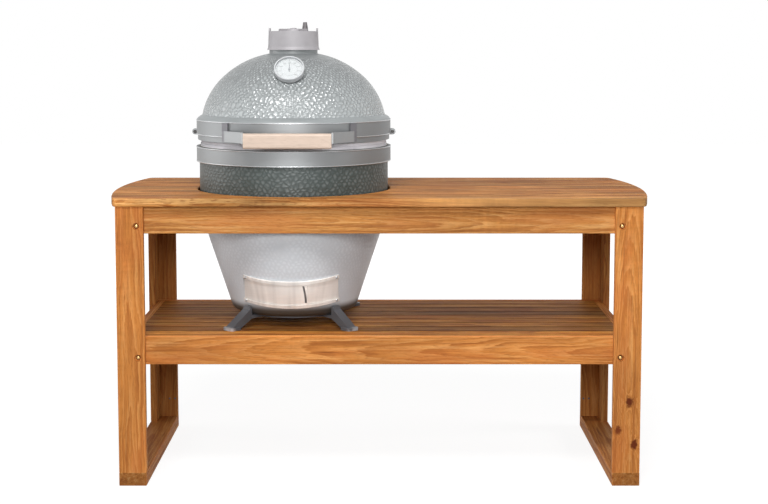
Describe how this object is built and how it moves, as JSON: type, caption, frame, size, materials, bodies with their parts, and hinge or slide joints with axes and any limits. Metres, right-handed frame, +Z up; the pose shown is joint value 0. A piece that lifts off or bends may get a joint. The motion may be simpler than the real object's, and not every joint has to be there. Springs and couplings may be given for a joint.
{
  "type": "kamado grill table",
  "caption": "Hardwood patio table with a slatted shelf and a round worktop cut-out, holding a ceramic kamado grill with a hinged dome, vent, draft door and thermometer.",
  "frame": {"origin": "on the floor under the middle of the table, at the centre of the whole object's box", "axes": "+X along the table to the right, -Y to the front where the handle and the draft door are, +Z up"},
  "size_m": [1.5296, 0.65, 1.2823],
  "materials": {
    "hardwood": "oiled",
    "glazed_ceramic": "dimpled glaze",
    "fireclay": "matt",
    "cast_iron": "matt",
    "felt": "matt",
    "band_metal": "satin",
    "vent_metal": "satin",
    "foot_iron": "satin",
    "steel": "brushed",
    "pale_wood": "oiled",
    "glass": "clear",
    "needle_paint": "matt"
  },
  "bodies": {
    "table": {"back_apron": "hardwood", "back_left_leg_face_board": "hardwood", "back_left_leg_side_board": "hardwood", "back_right_leg_face_board": "hardwood", "back_right_leg_side_board": "hardwood", "back_shelf_rail": "hardwood", "frame_bolts": "steel", "frame_nuts": "steel", "front_apron": "hardwood", "front_left_leg_face_board": "hardwood", "front_left_leg_side_board": "hardwood", "front_right_leg_face_board": "hardwood", "front_right_leg_side_board": "hardwood", "front_shelf_rail": "hardwood", "left_runner": "hardwood", "left_shelf_rail": "hardwood", "left_top_rail": "hardwood", "right_runner": "hardwood", "right_shelf_rail": "hardwood", "right_top_rail": "hardwood", "shelf_bearers": "hardwood", "shelf_slat_1": "hardwood", "shelf_slat_2": "hardwood", "shelf_slat_3": "hardwood", "shelf_slat_4": "hardwood", "shelf_slat_5": "hardwood", "shelf_slat_6": "hardwood", "shelf_slat_7": "hardwood", "shelf_slat_8": "hardwood", "shelf_slat_9": "hardwood", "table_top": "hardwood", "top_battens": "hardwood"},
    "grill": {"base_shell": "glazed_ceramic", "firebox": "fireclay", "fire_ring": "fireclay", "charcoal_grate": "cast_iron", "base_gasket": "felt", "lower_band": "band_metal", "stand_ring": "foot_iron", "front_left_foot": "foot_iron", "front_right_foot": "foot_iron", "back_left_foot": "foot_iron", "back_right_foot": "foot_iron", "draft_frame": "steel", "hinge_bracket": "band_metal", "hinge_pin": "steel"},
    "lid": {"dome": "glazed_ceramic", "lid_gasket": "felt", "upper_band": "band_metal", "band_clamp_bolts": "steel", "hinge_arms": "band_metal", "handle_arms": "band_metal", "handle_grip": "pale_wood", "thermometer_case": "steel", "thermometer_glass": "glass", "vent_housing": "vent_metal"},
    "cooking_grid": {"cooking_grid": "cast_iron"},
    "vent_disc": {"vent_disc": "vent_metal"},
    "needle": {"thermometer_needle": "needle_paint"},
    "draft_door": {"draft_door": "steel"}
  },
  "joints": [
    {"name": "grill_lift", "type": "slide", "parent": "table", "child": "grill", "axis": [0, 0, 1], "range_m": [0, 0.4]},
    {"name": "lid_hinge", "type": "hinge", "parent": "grill", "child": "lid", "pos_m": [-0.25, 0.298, 0.934], "axis": [-1, 0, 0], "range_deg": [0, 75]},
    {"name": "vent_turn", "type": "hinge", "parent": "lid", "child": "vent_disc", "pos_m": [-0.25, 0, 1.254], "axis": [0, 0, 1], "range_deg": [0, 45]},
    {"name": "needle_turn", "type": "hinge", "parent": "lid", "child": "needle", "pos_m": [-0.25, -0.18915, 1.138], "axis": [0, -0.766, 0.6428], "range_deg": [-135, 135], "stiffness_Nm_per_rad": 0.0004},
    {"name": "draft_slide", "type": "hinge", "parent": "grill", "child": "draft_door", "pos_m": [-0.25, 0, 0.58204], "axis": [0, 0.314, -0.9494], "range_deg": [0, 25.5]},
    {"name": "grid_lift", "type": "slide", "parent": "grill", "child": "cooking_grid", "axis": [0, 0, 1], "range_m": [0, 0.12]}
  ]
}
